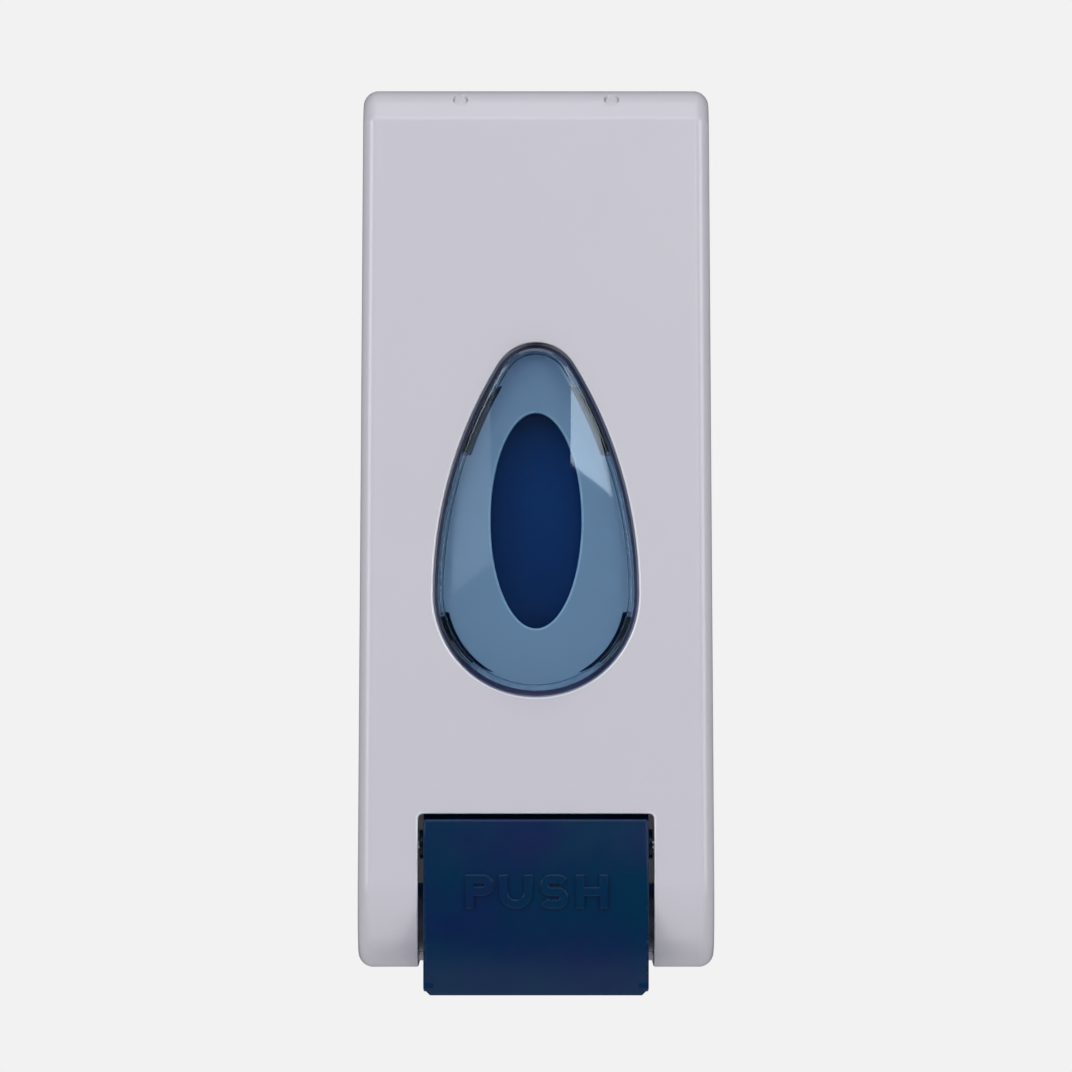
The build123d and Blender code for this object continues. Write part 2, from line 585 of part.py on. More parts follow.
def pump_cap():
    """Cap that closes the cylinder from below, guides the stem and seats the spring."""
    cap = disc(10.6, (PUMP_CAP_Z, PUMP_CAP_Z + 6))
    cap += disc(SPRING_GUIDE_R, (PUMP_CAP_Z - 1.6, PUMP_CAP_Z + 1))
    cap -= disc(9, (PUMP_CAP_Z + 2, PUMP_CAP_Z + 7))
    return cap - disc(STEM_R + RUNNING_FIT, (PUMP_CAP_Z - 2, PUMP_CAP_Z + 3))


def pump_spring():
    return coil(SPRING_GUIDE_R + 1.0, 0.6, (THRUST_FLANGE_Z + 2, PUMP_CAP_Z), turns=6.5)


def plunger_stem():
    """Hollow stem with the piston's two discs, the thrust flange and the outlet chamber."""
    stem = disc(STEM_R, (OUTLET_SEAT_Z, PISTON_Z + 5))
    stem += disc(6.6, (PISTON_Z, PISTON_Z + 1)) + disc(6.6, (PISTON_Z + 4, PISTON_Z + 5))
    stem += disc(THRUST_FLANGE_R, (THRUST_FLANGE_Z, THRUST_FLANGE_Z + 2))
    stem += disc(SPRING_GUIDE_R, (THRUST_FLANGE_Z + 1, THRUST_FLANGE_Z + 3.5))
    stem += disc(4.6, (NOZZLE_TOP_Z, THRUST_FLANGE_Z))
    stem -= disc(STEM_BORE_R, (OUTLET_SEAT_Z + 1.2, PISTON_Z + 6))
    stem -= disc(1.3, (OUTLET_SEAT_Z - 1, OUTLET_SEAT_Z + 3))
    return stem - disc(OUTLET_BALL_R + 0.8, (NOZZLE_TOP_Z - 1, OUTLET_SEAT_Z))


def piston_seal():
    """Rubber ring with two lips between the piston's discs."""
    z = (PISTON_Z + 1, PISTON_Z + 4)
    seal = disc(6.5, z, bore=STEM_R) + disc(CYLINDER_R - RUNNING_FIT, (z[0], z[0] + 0.9), bore=5)
    return seal + disc(CYLINDER_R - RUNNING_FIT, (z[1] - 0.9, z[1]), bore=5)


def outlet_ball():
    return Pos(0, -PUMP_DEPTH, OUTLET_BALL_Z) * Sphere(OUTLET_BALL_R)


def outlet_spring():
    return coil(1.5, 0.25, (NOZZLE_TOP_Z + 0.7, OUTLET_BALL_Z - OUTLET_BALL_R + 0.45), turns=4)


def nozzle_tip():
    """Outlet plug in the bottom of the stem, with a drip lip."""
    tip = disc(4.6, (NOZZLE_TOP_Z - 2.6, NOZZLE_TOP_Z))
    tip = chamfer(tip.edges().sort_by(Axis.Z)[0], 1.4)
    tip += disc(OUTLET_BALL_R + 0.8, (NOZZLE_TOP_Z - 1, NOZZLE_TOP_Z + 0.7))
    return tip - disc(1.1, (NOZZLE_TOP_Z - 4, NOZZLE_TOP_Z + 2))


# ---------------------------------------------------------------- latch
def latch_rocker():
    """Rocker pressed at its two front pins; its rear hooks then lift off the plate's catch."""
    y, z = LATCH_AXLE
    width = (-LATCH_HALF_WIDTH, LATCH_HALF_WIDTH)
    rear_z = (z - 2.0, z - 0.3)
    rocker = block(width, (-KEY_HOLE_DEPTH - 1.6, y), (z - 2.6, z - 0.9))
    rocker += rod(2.6, width, LATCH_AXLE)
    rocker += block(width, (y, y + 7), rear_z)
    arm = block((12, 18.5), (y + 5, HOOK_Y[1]), rear_z)
    hook = block((12, 18.5), HOOK_Y, (HOOK_LOW_Z, rear_z[1]))
    pin = Pos(KEY_HOLE_X, -KEY_HOLE_DEPTH, z + 2) * Cylinder(KEY_PIN_R, 9) & cover_block(inset=0.4)
    rocker += both_sides(arm + hook + pin)
    rocker -= block((-4.6, 4.6), (y - 3.4, y + 3.4), (z - 4, z + 4))
    return rocker - rod(PIN_R + RUNNING_FIT, width, LATCH_AXLE)


def latch_spring():
    """Torsion spring round the latch axle: one leg is under the rocker, one under the top wall."""
    turns, pitch, front_leg, rear_leg, tilt = 5.16, 1.1, 9.0, 4.6, 14
    path = Helix(pitch=pitch, height=pitch * turns, radius=LATCH_COIL_R)
    section = Circle(LATCH_WIRE_R)
    start, end = Plane(origin=path @ 0, z_dir=path % 0), Plane(origin=path @ 1, z_dir=path % 1)
    spring = sweep(start * section, path=path)
    spring += extrude(start * section, amount=-front_leg) + extrude(end * section, amount=rear_leg)
    return Pos(-pitch * turns / 2, *LATCH_AXLE) * Rot(X=tilt) * Rot(Y=90) * spring


def build():
    return {
        "front_cover": front_cover, "window_lens": window_lens, "push_button": push_button,
        "wall_plate": wall_plate, "reservoir_bracket": reservoir_bracket,
        "bracket_screws": bracket_screws, "hinge_pins": hinge_pins,
        "reservoir_bottle": reservoir_bottle, "reservoir_lid": reservoir_lid,
        "lid_gasket": lid_gasket, "neck_gasket": neck_gasket, "pump_collar": pump_collar,
        "pump_housing": pump_housing, "valve_cage": valve_cage, "inlet_ball": inlet_ball,
        "pump_cap": pump_cap, "pump_spring": pump_spring, "plunger_stem": plunger_stem,
        "piston_seal": piston_seal, "outlet_ball": outlet_ball, "outlet_spring": outlet_spring,
        "nozzle_tip": nozzle_tip, "latch_rocker": latch_rocker, "latch_spring": latch_spring,
    }


if __name__ == "__main__":
    os.makedirs("parts", exist_ok=True)
    for name, maker in build().items():
        save(name, maker())
    save("button_axle", rod(PIN_R, (-28.5, 28.5), BUTTON_AXLE))
    save("latch_axle", rod(PIN_R, (-24.2, 24.2), LATCH_AXLE))
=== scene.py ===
import math

import bmesh
import bpy
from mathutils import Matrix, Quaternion, Vector


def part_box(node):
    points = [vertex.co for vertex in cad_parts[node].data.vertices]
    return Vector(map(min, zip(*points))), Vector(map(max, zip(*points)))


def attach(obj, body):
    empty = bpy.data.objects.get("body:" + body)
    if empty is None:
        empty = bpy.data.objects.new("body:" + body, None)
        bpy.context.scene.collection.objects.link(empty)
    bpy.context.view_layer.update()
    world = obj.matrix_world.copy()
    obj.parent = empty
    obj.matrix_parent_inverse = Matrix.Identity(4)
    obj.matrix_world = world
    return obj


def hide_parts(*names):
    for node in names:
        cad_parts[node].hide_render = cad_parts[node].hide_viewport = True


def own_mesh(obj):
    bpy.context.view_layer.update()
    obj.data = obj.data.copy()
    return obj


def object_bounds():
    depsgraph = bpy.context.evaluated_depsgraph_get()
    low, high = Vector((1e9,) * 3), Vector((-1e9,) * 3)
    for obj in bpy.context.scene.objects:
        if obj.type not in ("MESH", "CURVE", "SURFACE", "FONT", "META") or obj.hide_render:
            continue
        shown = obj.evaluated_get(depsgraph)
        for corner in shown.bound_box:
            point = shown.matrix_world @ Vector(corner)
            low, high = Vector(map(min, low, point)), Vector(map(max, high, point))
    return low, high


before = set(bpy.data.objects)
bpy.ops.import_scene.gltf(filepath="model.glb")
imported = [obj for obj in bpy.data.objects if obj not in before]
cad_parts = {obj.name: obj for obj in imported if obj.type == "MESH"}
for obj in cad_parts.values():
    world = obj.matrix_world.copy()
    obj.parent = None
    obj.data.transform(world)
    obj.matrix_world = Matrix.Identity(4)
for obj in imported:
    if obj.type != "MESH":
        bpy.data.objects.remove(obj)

cad_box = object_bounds()
MM = 0.001

# ------------------------------------------------------------------ camera, light and stage
COVER_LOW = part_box("front_cover")[0]
CAMERA_DISTANCE = 2.0            # from the wall plane
VIEW_HEIGHT = 0.2402             # what the picture shows from top to bottom, at the cover's front
SENSOR = 36.0
FACE_DEPTH = -COVER_LOW.y - 0.006   # of the front face, at the level of the window
CAMERA_Z = COVER_LOW.z + 0.0971     # level with the middle of the view
FLOOR_DROP = 0.5                 # floor, below the part
FLOOR_HALF = 1.6
PALE = (0.96, 0.96, 1.0, 1)      # tint of the studio's fill light


def add_camera():
    """Level camera, straight in front of the cover."""
    data = bpy.data.cameras.new("camera")
    data.sensor_width = SENSOR
    data.lens = SENSOR * (CAMERA_DISTANCE - FACE_DEPTH) / VIEW_HEIGHT
    data.clip_start, data.clip_end = 0.01, 50
    camera = bpy.data.objects.new("camera", data)
    camera.location = (0, -CAMERA_DISTANCE, CAMERA_Z)
    camera.rotation_euler = (math.radians(90), 0, 0)
    bpy.context.scene.collection.objects.link(camera)
    bpy.context.scene.camera = camera


def add_softbox(name, place, aim, size, power, roll=0):
    """Rectangular studio light at a place, turned to a point and rolled by some degrees."""
    data = bpy.data.lights.new(name, "AREA")
    data.shape = "RECTANGLE"
    data.size, data.size_y = size
    data.energy = power
    light = bpy.data.objects.new(name, data)
    light.location = place
    turn = (Vector(aim) - Vector(place)).to_track_quat("-Z", "Y")
    light.rotation_euler = (turn @ Quaternion((0, 0, 1), math.radians(roll))).to_euler()
    bpy.context.scene.collection.objects.link(light)


def set_world():
    """Pale background for the camera, with a much darker grey for light and reflections."""
    world = bpy.data.worlds.new("world")
    bpy.context.scene.world = world
    world.use_nodes = True
    tree = world.node_tree
    tree.nodes.clear()
    output = tree.nodes.new("ShaderNodeOutputWorld")
    seen, fill = (tree.nodes.new("ShaderNodeBackground") for _ in range(2))
    seen.inputs["Color"].default_value = (0.887, 0.887, 0.887, 1)
    fill.inputs["Color"].default_value = PALE
    fill.inputs["Strength"].default_value = 0.04
    path = tree.nodes.new("ShaderNodeLightPath")
    mix = tree.nodes.new("ShaderNodeMixShader")
    tree.links.new(path.outputs["Is Camera Ray"], mix.inputs[0])
    tree.links.new(fill.outputs[0], mix.inputs[1])
    tree.links.new(seen.outputs[0], mix.inputs[2])
    tree.links.new(mix.outputs[0], output.inputs["Surface"])


def add_floor():
    """Plain pale floor, below the part as it hangs on its wall."""
    mesh = bpy.data.meshes.new("floor")
    half = FLOOR_HALF
    z = cad_box[0].z - FLOOR_DROP
    corners = [(-half, -half, z), (half, -half, z), (half, half, z), (-half, half, z)]
    mesh.from_pydata(corners, [], [(0, 1, 2, 3)])
    floor = bpy.data.objects.new("floor", mesh)
    bpy.context.scene.collection.objects.link(floor)
    paint = bpy.data.materials.new("floor_paint")
    paint.use_nodes = True
    shader = paint.node_tree.nodes["Principled BSDF"]
    shader.inputs["Base Color"].default_value = (0.80, 0.80, 0.80, 1)
    shader.inputs["Roughness"].default_value = 0.8
    shader.inputs["Emission Color"].default_value = PALE
    shader.inputs["Emission Strength"].default_value = 0.15
    mesh.materials.append(paint)


def light_studio():
    """Soft lights, and two window-shaped ones that show as reflections in the lens."""
    middle = (0, -0.04, 0)
    add_softbox("left", (-1.5, -1.3, 0.6), middle, (0.8, 1.2), 14.2)
    add_softbox("right", (1.5, -1.3, 0.6), middle, (0.8, 1.2), 12.8)
    add_softbox("front", (0, -1.6, 1.1), middle, (1.2, 0.5), 4.6)
    add_softbox("top", (0, -0.5, 1.5), middle, (1.4, 0.8), 8.0)
    add_softbox("low", (0, -0.25, -0.55), (0, -0.07, -0.09), (0.5, 0.25), 0.2)
    add_softbox("window_right", (0.43, -2.5, 0.61), middle, (0.32, 0.56), 2.8, roll=-4)
    add_softbox("window_left", (-0.50, -2.5, 0.59), middle, (0.30, 0.62), 0.45, roll=4)


# ------------------------------------------------------------------ materials
class Surface:
    """A Principled material with short calls for its procedural detail."""

    def __init__(self, name, colour, roughness, metallic=0.0):
        self.material = bpy.data.materials.new(name)
        self.material.use_nodes = True
        self.tree = self.material.node_tree
        self.shader = self.tree.nodes["Principled BSDF"]
        self.colour = (*colour, 1)
        self.set("Base Color", self.colour)
        self.set("Roughness", roughness)
        self.set("Metallic", metallic)
        self.place = self.tree.nodes.new("ShaderNodeTexCoord").outputs["Object"]
        self.bumps = []

    def set(self, socket, value):
        self.shader.inputs[socket].default_value = value
        return self

    def noise(self, size, detail=3.0, stretch=(1, 1, 1)):
        """Noise with features of the given size in millimetres."""
        mapping = self.tree.nodes.new("ShaderNodeMapping")
        mapping.inputs["Scale"].default_value = [1 / s for s in stretch]
        texture = self.tree.nodes.new("ShaderNodeTexNoise")
        texture.inputs["Scale"].default_value = 1 / (size * MM)
        texture.inputs["Detail"].default_value = detail
        self.tree.links.new(self.place, mapping.inputs["Vector"])
        self.tree.links.new(mapping.outputs[0], texture.inputs["Vector"])
        return texture.outputs["Fac"]

    def span(self, fac, low, high):
        """A 0.3 to 0.7 noise value spread over a range of numbers."""
        node = self.tree.nodes.new("ShaderNodeMapRange")
        node.inputs["From Min"].default_value, node.inputs["From Max"].default_value = 0.3, 0.7
        node.inputs["To Min"].default_value, node.inputs["To Max"].default_value = low, high
        self.tree.links.new(fac, node.inputs["Value"])
        return node.outputs[0]

    def drift(self, fac, first, second):
        """Lets the colour drift between two tones."""
        mix = self.tree.nodes.new("ShaderNodeMix")
        mix.data_type = "RGBA"
        mix.inputs["A"].default_value = (*first, 1)
        mix.inputs["B"].default_value = (*second, 1)
        self.tree.links.new(self.span(fac, 0, 1), mix.inputs["Factor"])
        self.tree.links.new(mix.outputs["Result"], self.shader.inputs["Base Color"])
        return self

    def mottle(self, fac, dark, light):
        """Lets the colour drift between a darker and a lighter tone of itself."""
        tones = ([min(1, c * share) for c in self.colour[:3]] for share in (dark, light))
        return self.drift(fac, *tones)

    def rough(self, fac, low, high):
        """Lets the roughness vary."""
        self.tree.links.new(self.span(fac, low, high), self.shader.inputs["Roughness"])
        return self

    def bump(self, fac, depth):
        """Adds surface relief; depth is in millimetres."""
        node = self.tree.nodes.new("ShaderNodeBump")
        node.inputs["Distance"].default_value = depth * MM
        node.inputs["Strength"].default_value = 1.0
        self.tree.links.new(fac, node.inputs["Height"])
        if self.bumps:
            self.tree.links.new(self.bumps[-1].outputs[0], node.inputs["Normal"])
        self.bumps.append(node)
        self.tree.links.new(node.outputs[0], self.shader.inputs["Normal"])
        return self

    def round_edges(self, radius):
        """Shades sharp edges as small rounds; radius is in millimetres."""
        node = self.tree.nodes.new("ShaderNodeBevel")
        node.samples = 8
        node.inputs["Radius"].default_value = radius * MM
        self.tree.links.new(node.outputs[0], self.shader.inputs["Normal"])
        return self

    def let_lamps_through(self, tint):
        """Glass that casts a tinted shadow, so that light reaches what is behind it."""
        tree = self.tree
        clear = tree.nodes.new("ShaderNodeBsdfTransparent")
        clear.inputs["Color"].default_value = (*tint, 1)
        path = tree.nodes.new("ShaderNodeLightPath")
        mix = tree.nodes.new("ShaderNodeMixShader")
        tree.links.new(path.outputs["Is Shadow Ray"], mix.inputs[0])
        tree.links.new(self.shader.outputs[0], mix.inputs[1])
        tree.links.new(clear.outputs[0], mix.inputs[2])
        tree.links.new(mix.outputs[0], tree.nodes["Material Output"].inputs["Surface"])
        return self


def plastic(name, colour, roughness, grain=0.25, depth=0.004, drift=0.03):
    """Moulded plastic: a fine grain, slight waviness and a slow drift of tone."""
    surface = Surface(name, colour, roughness)
    surface.mottle(surface.noise(28, 2), 1 - drift, 1 + drift)
    surface.rough(surface.noise(6, 4), roughness * 0.88, roughness * 1.12)
    surface.bump(surface.noise(grain, 2), depth)
    surface.bump(surface.noise(40, 1), 0.01)
    return surface.material


def button_plastic():
    """Dark blue plastic that drifts between a teal and a violet tone."""
    surface = Surface("button_plastic", (0.003, 0.023, 0.080), 0.2)
    surface.set("Specular IOR Level", 0.2)
    surface.drift(surface.noise(17, 3), (0.001, 0.030, 0.078), (0.005, 0.017, 0.082))
    surface.rough(surface.noise(9, 2), 0.17, 0.23)
    surface.round_edges(0.32)
    return surface.material


def bottle_plastic():
    """Translucent bottle full of soap: light spreads in it, so it is darker where less falls on it."""
    surface = Surface("bottle_plastic", (0.001, 0.095, 0.33), 0.34)
    surface.set("Subsurface Weight", 1.0).set("Subsurface Radius", (0.3, 0.8, 1.0))
    surface.set("Subsurface Scale", 7 * MM)
    surface.mottle(surface.noise(30, 2), 0.92, 1.06)
    surface.rough(surface.noise(5, 3), 0.3, 0.38)
    return surface.material


def steel(name, along=(1, 1, 1), colour=(0.62, 0.62, 0.64), roughness=0.26):
    """Drawn or turned steel with fine lines along its length."""
    surface = Surface(name, colour, roughness, metallic=1.0)
    lines = surface.noise(0.35, 4, stretch=along)
    surface.mottle(surface.noise(2.5, 3), 0.86, 1.06)
    surface.rough(lines, roughness * 0.7, roughness * 1.4)
    surface.bump(lines, 0.006)
    return surface.material


def rubber(name):
    """Dull black rubber."""
    surface = Surface(name, (0.03, 0.03, 0.034), 0.62)
    surface.mottle(surface.noise(3, 4), 0.8, 1.3)
    surface.rough(surface.noise(1.2, 3), 0.52, 0.72)
    surface.bump(surface.noise(0.4, 4), 0.01)
    return surface.material


def clear_plastic(name, colour, roughness, lamps, wave=0.004, level=0.5):
    """Clear tinted plastic with a slight waviness; wave is its depth in millimetres."""
    surface = Surface(name, colour, roughness)
    surface.set("Transmission Weight", 1.0).set("IOR", 1.49)
    surface.set("Specular IOR Level", level).set("Specular Tint", (0.8, 0.9, 1.0, 1))
    surface.bump(surface.noise(22, 2), wave)
    surface.let_lamps_through(lamps)
    return surface.material


# ------------------------------------------------------------------ mesh helpers
def add_piece(name, shape, materials, body, slot, sharp=40):
    """Smooth shaded piece of points and faces, on a body, in place of the CAD node named by slot."""
    points, faces = shape
    mesh = bpy.data.meshes.new(name)
    mesh.from_pydata([tuple(point) for point in points], [], faces)
    work = bmesh.new()
    work.from_mesh(mesh)
    bmesh.ops.remove_doubles(work, verts=work.verts, dist=0.001 * MM)
    bmesh.ops.recalc_face_normals(work, faces=work.faces)
    work.to_mesh(mesh)
    work.free()
    for material in materials:
        mesh.materials.append(material)
    mesh.shade_smooth()
    mesh.set_sharp_from_angle(angle=math.radians(sharp))
    piece = bpy.data.objects.new(name, mesh)
    bpy.context.scene.collection.objects.link(piece)
    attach(piece, body)
    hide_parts(slot)
    return piece


def strip_faces(rows, count):
    """Quads between successive rows of points, each row count long and closed on itself."""
    faces = []
    for row in range(rows - 1):
        this, after = row * count, (row + 1) * count
        for i in range(count):
            j = (i + 1) % count
            faces.append((this + i, this + j, after + j, after + i))
    return faces


WIRE_SIDES = 10


def wire(path, radius):
    """Points and faces of round wire along a path, with flat ends."""
    path = [Vector(point) for point in path]
    side = None
    points = []
    for i, centre in enumerate(path):
        along = (path[min(i + 1, len(path) - 1)] - path[max(i - 1, 0)]).normalized()
        if side is None:
            side = along.orthogonal().normalized()
        side = (side - along * side.dot(along)).normalized()
        other = along.cross(side)
        for k in range(WIRE_SIDES):
            turn = 2 * math.pi * k / WIRE_SIDES
            points.append(centre + radius * (math.cos(turn) * side + math.sin(turn) * other))
    last = (len(path) - 1) * WIRE_SIDES
    ends = [tuple(reversed(range(WIRE_SIDES))), tuple(range(last, last + WIRE_SIDES))]
    return points, strip_faces(len(path), WIRE_SIDES) + ends


# ------------------------------------------------------------------ window lens
FACE_LEAN = math.radians(3.541)          # the cover's front leans back
COVER_DEPTH, CHIN_TOP = 73 * MM, -82 * MM     # depth of the cover, and the height where it is deepest
FACE_PLACE = Vector((0, -COVER_DEPTH - CHIN_TOP * math.tan(FACE_LEAN), 0))
FACE_UP = Vector((0, math.sin(FACE_LEAN), math.cos(FACE_LEAN)))
FACE_OUT = Vector((0, -math.cos(FACE_LEAN), math.sin(FACE_LEAN)))
TEAR_LOW, TEAR_HIGH = -15.9 * MM, 30.7 * MM          # centres of the low and high arcs
TEAR_LOW_R, TEAR_HIGH_R, TEAR_SIDE_R = 22.7 * MM, 9.5 * MM, 98.0 * MM
RECESS_DEPTH = 3.0 * MM                   # the lens stands in a recess of the cover
RECESS_FLOOR = 1.8 * MM                   # thickness of the recess's floor
LENS_TOP = 1.9 * MM                       # how far the lens stands proud of the face
LENS_ARCH_R = 160 * MM
LENS_WALL = 1.5 * MM
SKIRT_SLOPE = math.tan(math.radians(13))
LENS_EDGE = (0.45 * MM, 0.5 * MM)         # edge of the lens: round, and the width of the flat between
LENS_INNER_EDGE = (0.4 * MM, 0)
EDGE_TURN = math.radians(63)              # how far the flat of the edge lies over
CLIP_HEIGHTS = ((-32.6 * MM, -20.8 * MM), (16.0 * MM, 29.9 * MM))


def on_face(x, up, out):
    """Point given across, up and out from the cover's front face."""
    return FACE_PLACE + Vector((x, 0, 0)) + FACE_UP * up + FACE_OUT * out


def teardrop(inset):
    """The window's outline, pulled in by inset, as (across, up) points."""
    to_low, to_high = TEAR_SIDE_R - TEAR_LOW_R, TEAR_SIDE_R - TEAR_HIGH_R
    apart = TEAR_HIGH - TEAR_LOW
    rise = (to_low**2 - to_high**2 + apart**2) / (2 * apart)
    side_x, side_up = -math.sqrt(to_low**2 - rise**2), TEAR_LOW + rise
    low_turn = math.atan2(TEAR_LOW - side_up, -side_x)
    high_turn = math.atan2(TEAR_HIGH - side_up, -side_x)
    arcs = (
        (side_x, side_up, TEAR_SIDE_R, low_turn, high_turn, 64),
        (0, TEAR_HIGH, TEAR_HIGH_R, high_turn, math.pi - high_turn, 40),
        (-side_x, side_up, TEAR_SIDE_R, math.pi - high_turn, math.pi - low_turn, 64),
        (0, TEAR_LOW, TEAR_LOW_R, math.pi - low_turn, 2 * math.pi + low_turn, 80),
    )
    outline = []
    for x, up, radius, start, end, steps in arcs:
        for k in range(steps):
            turn = start + (end - start) * k / steps
            reach = radius - inset
            outline.append((x + reach * math.cos(turn), up + reach * math.sin(turn)))
    return outline


# points of the two outlines pair up, so that a point between them can have any inset
OUTLINE, OUTLINE_IN = teardrop(0), teardrop(1 * MM)


def inset_point(index, inset):
    """One point of the teardrop outline at its own inset."""
    (x0, up0), (x1, up1) = OUTLINE[index], OUTLINE_IN[index]
    share = inset / MM
    return x0 + (x1 - x0) * share, up0 + (up1 - up0) * share


def arch(x):
    """Height of the lens's top above the front face."""
    return LENS_TOP - LENS_ARCH_R + math.sqrt(LENS_ARCH_R**2 - x * x)


def edge_profile(radius, flat):
    """The lens's edge, from skirt to top, as (inward, below the top) steps."""
    steps = 5
    first = [EDGE_TURN * k / steps for k in range(steps + 1)]
    second = [EDGE_TURN + (0.5 * math.pi - EDGE_TURN) * k / steps for k in range(steps + 1)]
    along, rise = flat * math.sin(EDGE_TURN), flat * math.cos(EDGE_TURN)
    profile = [(radius * (1 - math.cos(t)), radius * (1 - math.sin(t)) + rise) for t in first]
    profile += [(radius * (1 - math.cos(t)) + along, radius * (1 - math.sin(t))) for t in second]
    return profile


def lens_shell(start, drop, edge):
    """Rings of one side of the lens, from its base up over the edge to the middle."""
    base = teardrop(start)
    profile = edge_profile(*edge)
    skirt = [(arch(x) - drop - profile[0][1] + RECESS_DEPTH) * SKIRT_SLOPE for x, _ in base]
    rings = [[on_face(x, up, -RECESS_DEPTH) for x, up in base]]
    for inward, below in profile:
        ring = []
        for i, slant in enumerate(skirt):
            x, up = inset_point(i, start + slant + inward)
            ring.append(on_face(x, up, arch(x) - drop - below))
        rings.append(ring)
    last = [inset_point(i, start + slant + profile[-1][0]) for i, slant in enumerate(skirt)]
    steps = 12
    for k in range(1, steps + 1):
        share = k / steps
        ring = []
        for x, up in last:
            spine = min(max(up, TEAR_LOW), TEAR_HIGH)
            here = x * (1 - share)
            ring.append(on_face(here, up + (spine - up) * share, arch(here) - drop))
        rings.append(ring)
    return rings


def lens_clip(side, heights):
    """Points and faces of one clip: a leg down through its slot, with a barb behind the floor."""
    back = -RECESS_DEPTH - RECESS_FLOOR
    section = ((1.0 * MM, -2.9 * MM), (1.0 * MM, back - 0.2 * MM), (0.1 * MM, back - 0.5 * MM),
               (0.9 * MM, back - 1.5 * MM), (2.3 * MM, back - 1.5 * MM), (2.3 * MM, -2.9 * MM))
    chosen = [i for i, (x, up) in enumerate(OUTLINE) if x * side > 0 and heights[0] < up < heights[1]]
    points = []
    for i in chosen:
        for inset, out in section:
            points.append(on_face(*inset_point(i, inset), out))
    count = len(section)
    last = (len(chosen) - 1) * count
    ends = [tuple(range(count)), tuple(range(last, last + count))]
    return points, strip_faces(len(chosen), count) + ends


def add_lens(face, edge):
    """Window lens: a thin arched shell with a rounded rim, steep skirt and four clips; the skirt and clips
    take the second material, a near-black painted shade.
    """
    outer = lens_shell(0, 0, LENS_EDGE)
    inner = lens_shell(LENS_WALL, LENS_WALL, LENS_INNER_EDGE)
    rings = list(reversed(outer)) + inner
    points = [point for ring in rings for point in ring]
    faces = strip_faces(len(rings), len(OUTLINE))
    shell_faces = len(faces)
    for side in (-1, 1):
        for heights in CLIP_HEIGHTS:
            clip_points, clip_faces = lens_clip(side, heights)
            first = len(points)
            points += clip_points
            faces += [tuple(first + i for i in face_points) for face_points in clip_faces]
    lens = add_piece("lens_shell", (points, faces), [face, edge], "cover", "window_lens", sharp=30)
    # the skirt row and the clips take the painted shade material
    skirt_row = len(outer) - 2
    for polygon in lens.data.polygons:
        if polygon.index >= shell_faces or polygon.index // len(OUTLINE) == skirt_row:
            polygon.material_index = 1


# ------------------------------------------------------------------ springs
STEPS_PER_TURN = 28


def add_coil(name, node, wire_r, turns, body, material):
    """Compression spring with closed ends that fills its CAD node's box, on a body."""
    low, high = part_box(node)
    middle = (low + high) / 2
    radius = (high.x - low.x) / 2 - wire_r
    bottom, top = low.z + wire_r, high.z - wire_r
    closed = 2.05 * wire_r
    active_pitch = (top - bottom - 2 * closed) / (turns - 2)
    path = []
    for k in range(turns * STEPS_PER_TURN + 1):
        turn = k / STEPS_PER_TURN
        lift = closed * min(turn, 1) + active_pitch * min(max(turn - 1, 0), turns - 2)
        lift += closed * max(turn - turns + 1, 0)
        angle = 2 * math.pi * turn
        path.append((middle.x + radius * math.cos(angle), middle.y + radius * math.sin(angle), bottom + lift))
    spring = add_piece(name, wire(path, wire_r), [material], body, node)
    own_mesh(spring)


def add_latch_spring(material):
    """Torsion spring round the latch axle: tight coils with one leg forward and one up."""
    low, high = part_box("latch_axle")
    axle = (low + high) / 2
    wire_r, radius, turns, pitch = 0.35 * MM, 2.1 * MM, 5.16, 1.1 * MM
    front_leg, rear_leg, tilt = 9.0 * MM, 4.6 * MM, math.radians(14)

    def place(x, y, z):
        """Point given from the middle of the axle, in the spring's own tilted frame."""
        turned_y = y * math.cos(tilt) - z * math.sin(tilt)
        turned_z = y * math.sin(tilt) + z * math.cos(tilt)
        return axle + Vector((x - pitch * turns / 2, turned_y, turned_z))

    path = [place(0, -front_leg, -radius), place(0, -front_leg / 2, -radius)]
    for k in range(int(turns * STEPS_PER_TURN) + 1):
        turn = 2 * math.pi * k / STEPS_PER_TURN
        path.append(place(pitch * k / STEPS_PER_TURN, radius * math.sin(turn), -radius * math.cos(turn)))
    end = 2 * math.pi * turns
    for reach in (rear_leg / 2, rear_leg):
        y = radius * math.sin(end) + reach * math.cos(end)
        z = -radius * math.cos(end) + reach * math.sin(end)
        path.append(place(pitch * turns, y, z))
    add_piece("latch_torsion_spring", wire(path, wire_r), [material], "latch", "latch_spring")


# ------------------------------------------------------------------ what each node is made of
def paint(node, material):
    """Gives a CAD node one material."""
    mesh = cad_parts[node].data
    mesh.materials.clear()
    mesh.materials.append(material)


RIM_R = 0.5 * MM                          # round of the rims
WALL_FACING, FLAT_FACING = 0.15, 0.985    # a rim faces forward by more than a wall and less than a flat face


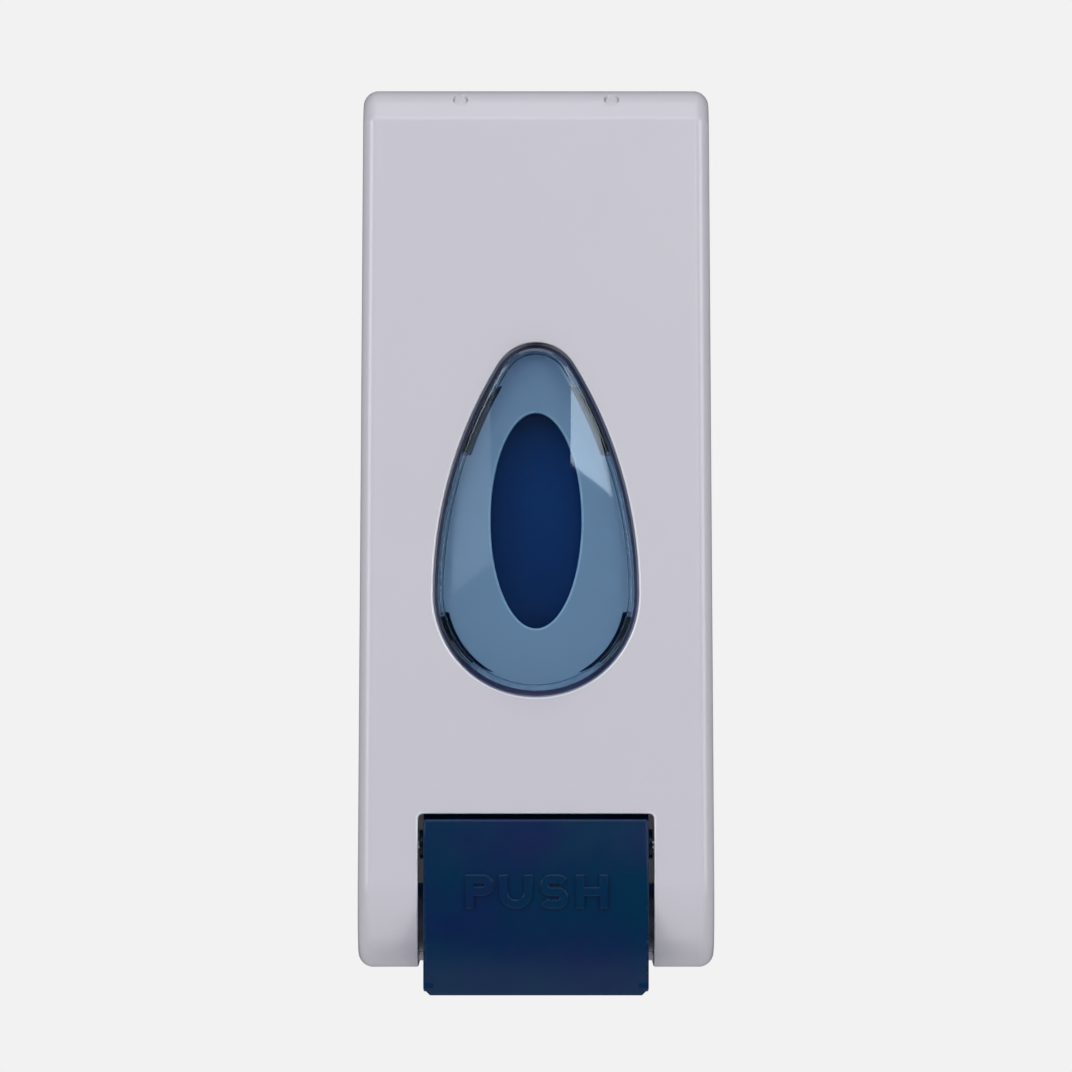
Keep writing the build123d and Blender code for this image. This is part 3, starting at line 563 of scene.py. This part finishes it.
def paint_cover():
    """Cover plastic, with a painted highlight on the rounded rims of its openings: a lighter, glossier
    plastic.
    """
    cover_plastic = plastic("cover_plastic", (0.675, 0.662, 0.735), 0.24,
                            grain=0.3, depth=0.0004, drift=0.006)
    paint("front_cover", cover_plastic)
    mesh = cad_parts["front_cover"].data
    # painted highlight: the rims of the openings get a lighter, glossier plastic than the cover
    mesh.materials.append(plastic("rim_painted_highlight", (0.90, 0.91, 0.96), 0.15, drift=0.01))
    for polygon in mesh.polygons:
        place = polygon.center - FACE_PLACE
        out, up, across = place.dot(FACE_OUT), place.dot(FACE_UP), abs(place.x)
        facing = polygon.normal.dot(FACE_OUT)
        if not WALL_FACING < facing < FLAT_FACING:
            continue
        recess_rim = out > -RIM_R and across < 26 * MM and -45 * MM < up < 50 * MM
        sight_rim = -3.6 * MM < out < -2.9 * MM and across < 11.5 * MM and abs(up) < 27 * MM
        by_cutout_side = 26.3 * MM < across < 26.95 * MM and up < -64.2 * MM
        by_cutout_top = across < 26.95 * MM and -65.1 * MM < up < -64.2 * MM
        button_rim = (by_cutout_side or by_cutout_top) and polygon.normal.y < -WALL_FACING
        if recess_rim or sight_rim or button_rim and place.y > -8 * MM:
            # rims of the recess, the sight opening and the button cut-out take the painted highlight material
            polygon.material_index = 1


def paint_all():
    """Materials for every CAD node, and the pieces that stand in for four of them."""
    paint_cover()
    paint("push_button", button_plastic())
    lens = clear_plastic("lens_plastic", (0.42, 0.545, 0.64), 0.012, (0.52, 0.66, 0.76))
    # near-black tint on the lens's skirt and clips: painted shade for the dark ring round the window
    lens_edge_painted_shade = clear_plastic("lens_edge_painted_shade", (0.0005, 0.002, 0.015), 0.25, (0.10, 0.14, 0.30), level=0.01)
    add_lens(lens, lens_edge_painted_shade)
    white = plastic("white_plastic", (0.62, 0.62, 0.64), 0.45, grain=0.5, depth=0.01)
    for node in ("wall_plate", "reservoir_bracket"):
        paint(node, white)
    paint("reservoir_bottle", bottle_plastic())
    paint("reservoir_lid", plastic("lid_plastic", (0.03, 0.07, 0.17), 0.42))
    natural = plastic("natural_plastic", (0.70, 0.71, 0.73), 0.33, grain=0.4, depth=0.004)
    paint("latch_rocker", plastic("rocker_plastic", (0.66, 0.645, 0.70), 0.35, grain=0.4, depth=0.003))
    for node in ("pump_collar", "pump_housing", "valve_cage", "pump_cap", "plunger_stem"):
        paint(node, natural)
    paint("nozzle_tip", plastic("nozzle_plastic", (0.05, 0.055, 0.065), 0.4))
    paint("inlet_ball", clear_plastic("ball_glass", (0.85, 0.92, 0.92), 0.02, (0.9, 0.95, 0.95)))
    seal = rubber("seal_rubber")
    for node in ("lid_gasket", "neck_gasket", "piston_seal"):
        paint(node, seal)
    pin = steel("pin_steel", along=(12, 1, 1))
    for node in ("button_axle", "latch_axle", "hinge_pins"):
        paint(node, pin)
    spring_wire = steel("wire_steel")
    add_coil("pump_coil", "pump_spring", wire_r=0.6 * MM, turns=8, body="wall_unit",
             material=spring_wire)
    add_coil("outlet_coil", "outlet_spring", wire_r=0.25 * MM, turns=6, body="plunger",
             material=spring_wire)
    add_latch_spring(spring_wire)
    paint("outlet_ball", steel("ball_steel", roughness=0.12))
    paint("bracket_screws", steel("zinc_steel", colour=(0.66, 0.65, 0.60), roughness=0.34))


add_camera()
set_world()
add_floor()
light_studio()
paint_all()
bpy.context.scene.view_settings.view_transform = "Standard"
